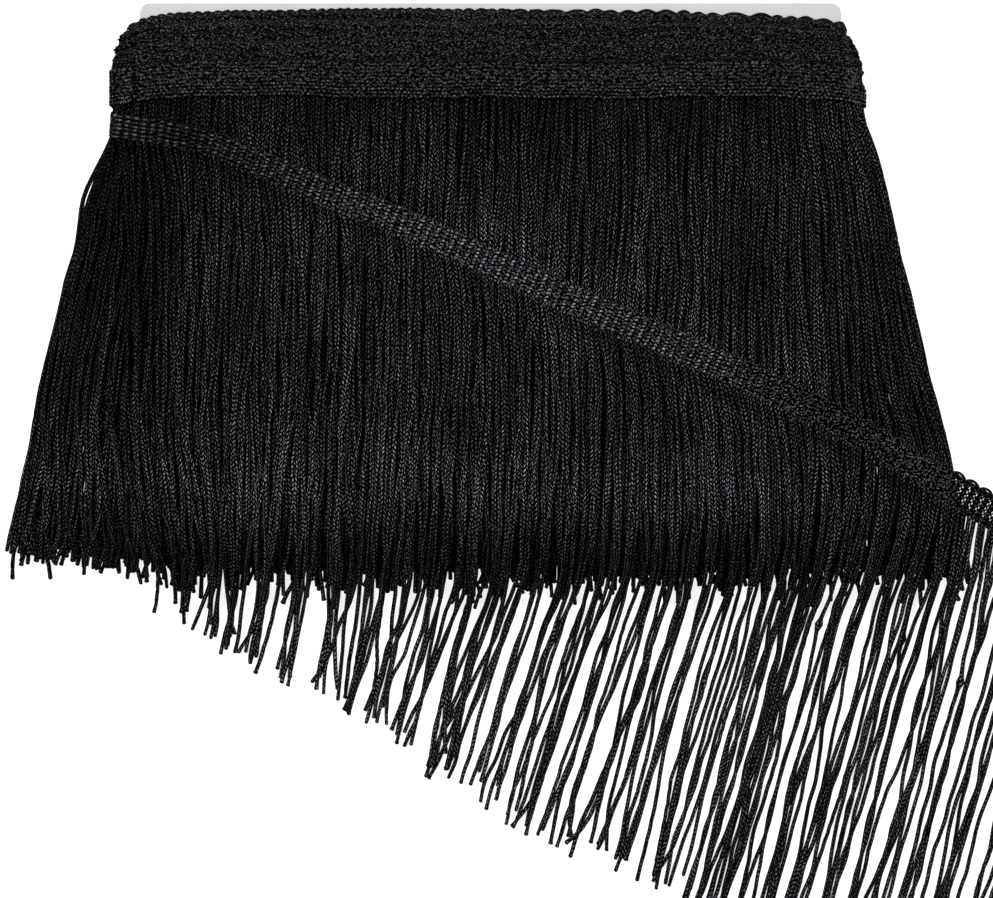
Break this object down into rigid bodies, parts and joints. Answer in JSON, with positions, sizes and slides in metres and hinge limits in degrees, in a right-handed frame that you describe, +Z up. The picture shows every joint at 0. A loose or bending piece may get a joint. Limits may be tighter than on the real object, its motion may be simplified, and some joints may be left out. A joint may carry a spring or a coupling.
{
  "type": "tassel fringe trim wound on a card",
  "caption": "Black cord fringe on a narrow woven heading, wound flat round a plain card, with its loose end laid slantwise across the front.",
  "frame": {"origin": "middle of the footprint, on the surface the trim lies on", "axes": "+X along the card from the end where the loose end starts to the end it leaves by, +Y from the fringe's tips to the heading, +Z up out of the face"},
  "size_m": [0.3276, 0.3052, 0.021],
  "materials": {
    "cord": "black twisted cord, slight sheen",
    "heading": "black woven band, matt",
    "board": "plain white board, matt"
  },
  "bodies": {
    "root": {"card": "board", "wound_heading": "heading", "wound_fringe": "cord", "loose_heading": "heading", "loose_fringe": "cord"}
  },
  "joints": []
}
